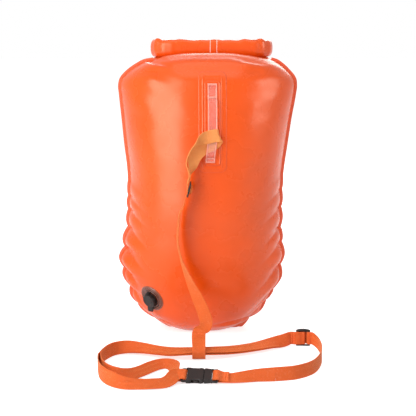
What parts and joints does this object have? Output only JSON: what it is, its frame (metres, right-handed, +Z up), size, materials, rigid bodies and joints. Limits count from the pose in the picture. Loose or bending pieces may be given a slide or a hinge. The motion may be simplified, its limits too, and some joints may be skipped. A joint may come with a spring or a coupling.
{
  "type": "swim buoy",
  "caption": "Inflated roll-top swim buoy bag with an air valve on each chamber, a clear front strap, and an adjustable leash to a buckled waist belt.",
  "frame": {"origin": "middle of the flattened base that the bag stands on", "axes": "+Z up through the bag to its rolled mouth, +X to the viewer's right, +Y away from the viewer, so the leash and belt lie towards -Y"},
  "size_m": [0.3355, 0.4301, 0.4743],
  "materials": {
    "bag_sheet": "glossy welded PVC sheet",
    "neck_sheet": "glossy PVC sheet, wound up",
    "liner": "dull inner film",
    "stiffener": "dull stiff strip",
    "webbing": "woven webbing, slightly glossy",
    "clear_pvc": "clear flexible PVC",
    "hardware": "black moulded plastic, satin",
    "valve_plastic": "black flexible plastic, satin",
    "smoked_pvc": "dark see-through PVC",
    "check_rubber": "thin matt rubber"
  },
  "bodies": {
    "bag": {"front_panel": "bag_sheet", "back_panel": "bag_sheet", "front_liner": "liner", "back_liner": "liner", "rolled_neck": "neck_sheet", "mouth_stiffener": "stiffener", "roll_tab_left": "webbing", "roll_tab_right": "webbing", "roll_buckle_female": "hardware", "strap_patch": "bag_sheet", "strap_base_sheet": "bag_sheet", "clear_strap": "clear_pvc", "front_valve_flange": "smoked_pvc", "front_valve_collar": "valve_plastic", "front_valve_retainer": "valve_plastic", "rear_valve_flange": "smoked_pvc", "rear_valve_collar": "valve_plastic", "rear_valve_retainer": "valve_plastic"},
    "front_valve_cap": {"front_valve_cap": "valve_plastic"},
    "front_valve_diaphragm": {"front_valve_diaphragm": "check_rubber"},
    "rear_valve_cap": {"rear_valve_cap": "valve_plastic"},
    "rear_valve_diaphragm": {"rear_valve_diaphragm": "check_rubber"},
    "roll_buckle_male": {"roll_buckle_male": "hardware"},
    "leash_loop": {"leash_loop": "webbing"},
    "leash_slider": {"leash_slider": "hardware"},
    "leash_strap": {"leash_strap": "webbing"},
    "belt": {"belt_webbing": "webbing", "belt_buckle_female": "hardware"},
    "belt_buckle_male": {"belt_buckle_male": "hardware"},
    "belt_slider": {"belt_slider": "hardware"}
  },
  "joints": [
    {"name": "front_cap_hinge", "type": "hinge", "parent": "bag", "child": "front_valve_cap", "pos_m": [-0.08965, -0.06268, 0.07263], "axis": [-0.7689, 0.6394, 0], "range_deg": [0, 105]},
    {"name": "rear_cap_hinge", "type": "hinge", "parent": "bag", "child": "rear_valve_cap", "pos_m": [-0.08969, 0.06337, 0.07263], "axis": [0.7652, 0.6437, 0], "range_deg": [0, 105]},
    {"name": "front_check_slide", "type": "slide", "parent": "bag", "child": "front_valve_diaphragm", "axis": [0.5931, 0.7132, 0.3736], "range_m": [0, 0.0014]},
    {"name": "rear_check_slide", "type": "slide", "parent": "bag", "child": "rear_valve_diaphragm", "axis": [0.5972, -0.7099, 0.3735], "range_m": [0, 0.0014]},
    {"name": "roll_buckle_release", "type": "slide", "parent": "bag", "child": "roll_buckle_male", "axis": [1, 0, 0], "range_m": [0, 0.028], "deforming": ["roll_buckle_male", "roll_tab_right"]},
    {"name": "leash_loop_slide", "type": "slide", "parent": "bag", "child": "leash_loop", "axis": [-0.0016, 0.1121, 0.9937], "range_m": [0, 0.036]},
    {"name": "leash_slider_slide", "type": "slide", "parent": "leash_loop", "child": "leash_slider", "axis": [-0.225, 0, -0.9744], "range_m": [-0.008, 0], "deforming": ["leash_loop"]},
    {"name": "leash_swing", "type": "hinge", "parent": "leash_loop", "child": "leash_strap", "pos_m": [-0.02921, -0.1165, 0.22917], "axis": [-1, 0, 0], "range_deg": [0, 75], "deforming": ["leash_loop"]},
    {"name": "belt_swing", "type": "hinge", "parent": "leash_strap", "child": "belt", "pos_m": [-0.007, -0.184, 0.0132], "axis": [-1, 0, 0], "range_deg": [-28, 68]},
    {"name": "belt_buckle_release", "type": "slide", "parent": "belt", "child": "belt_buckle_male", "axis": [0.9962, -0.0872, 0], "range_m": [0, 0.028], "deforming": ["belt_buckle_male", "belt_webbing"]},
    {"name": "belt_slider_slide", "type": "slide", "parent": "belt", "child": "belt_slider", "axis": [0.9976, -0.0698, 0], "range_m": [-0.01, 0.003], "deforming": ["belt_webbing"]}
  ]
}
